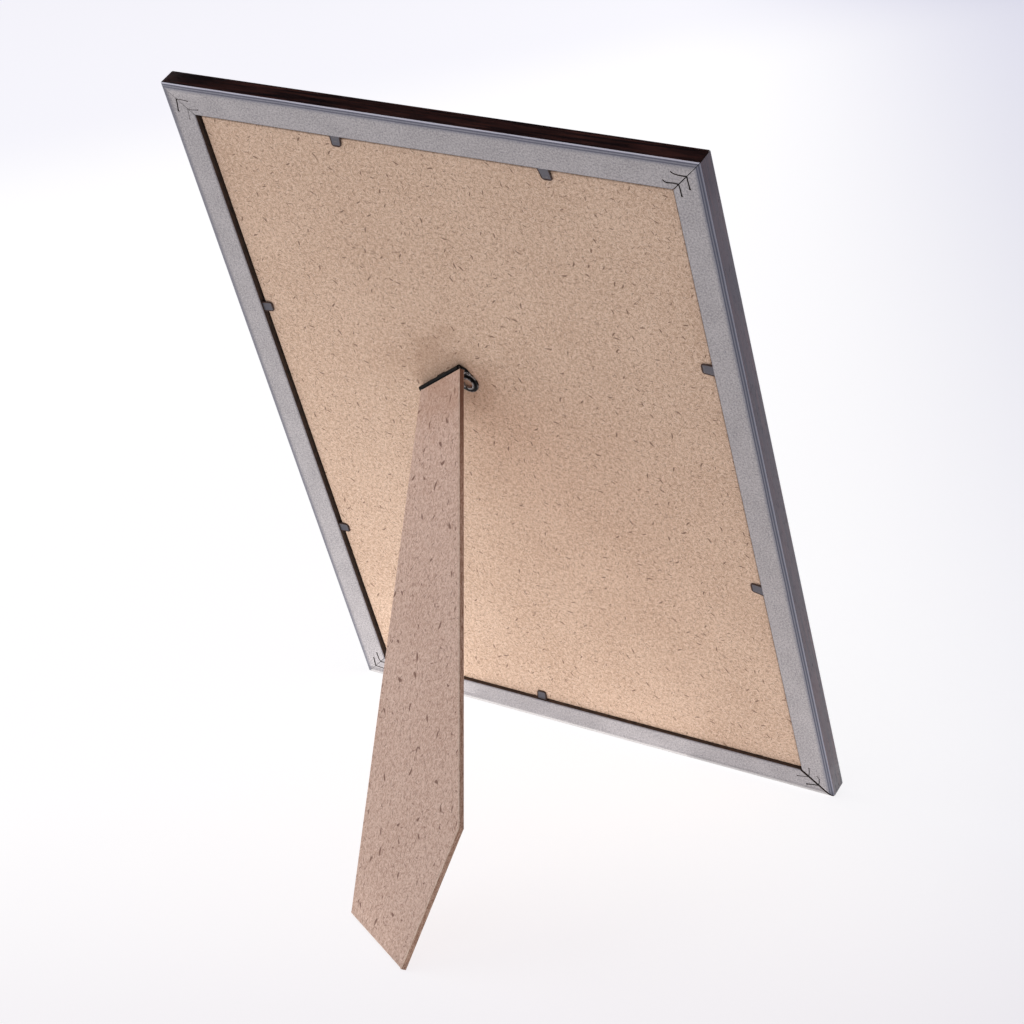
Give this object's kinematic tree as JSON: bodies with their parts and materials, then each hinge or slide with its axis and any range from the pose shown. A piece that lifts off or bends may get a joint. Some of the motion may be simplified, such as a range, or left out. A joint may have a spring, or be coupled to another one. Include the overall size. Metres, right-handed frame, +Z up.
{
  "type": "easel back photo frame",
  "caption": "Wood-grain photo frame with a hardboard back, retaining tabs and a hinged easel strut; it stands upright or on its side.",
  "frame": {"origin": "on the ground, under the middle of the standing frame with its strut open", "axes": "+Z up, the picture faces -Y and leans back, +X to the right seen from the front"},
  "size_m": [0.238, 0.2314, 0.2968],
  "materials": {
    "moulding": "dark wood-grain foil, pale grey primed back",
    "corner_nails": "bare steel strip",
    "glazing": "clear",
    "picture_paper": "matt",
    "backing_hardboard": "hardboard, matt",
    "retaining_steel": "dark blued strip",
    "hinge_steel": "black, satin",
    "hinge_fasteners": "dark plated",
    "strut_hardboard": "hardboard, matt"
  },
  "bodies": {
    "frame": {"rail_top": "moulding", "rail_bottom": "moulding", "rail_left": "moulding", "rail_right": "moulding", "v_nails_bottom_left": "corner_nails", "v_nails_bottom_right": "corner_nails", "v_nails_top_left": "corner_nails", "v_nails_top_right": "corner_nails", "glass_pane": "glazing", "picture_sheet": "picture_paper", "backing_board": "backing_hardboard", "retaining_tab_top_left": "retaining_steel", "retaining_tab_top_right": "retaining_steel", "retaining_tab_left_upper": "retaining_steel", "retaining_tab_left_lower": "retaining_steel", "retaining_tab_right_upper": "retaining_steel", "retaining_tab_right_lower": "retaining_steel", "retaining_tab_bottom": "retaining_steel", "hinge_board_leaf": "hinge_steel", "hinge_pin": "hinge_fasteners", "hinge_rivets": "hinge_fasteners"},
    "strut": {"strut": "strut_hardboard", "hinge_strut_leaf": "hinge_steel"}
  },
  "joints": [
    {"name": "strut_fold", "type": "hinge", "parent": "frame", "child": "strut", "pos_m": [0.0207, -0.02236, 0.17999], "axis": [-0.8166, 0.2454, 0.5224], "range_deg": [0, 57]}
  ]
}
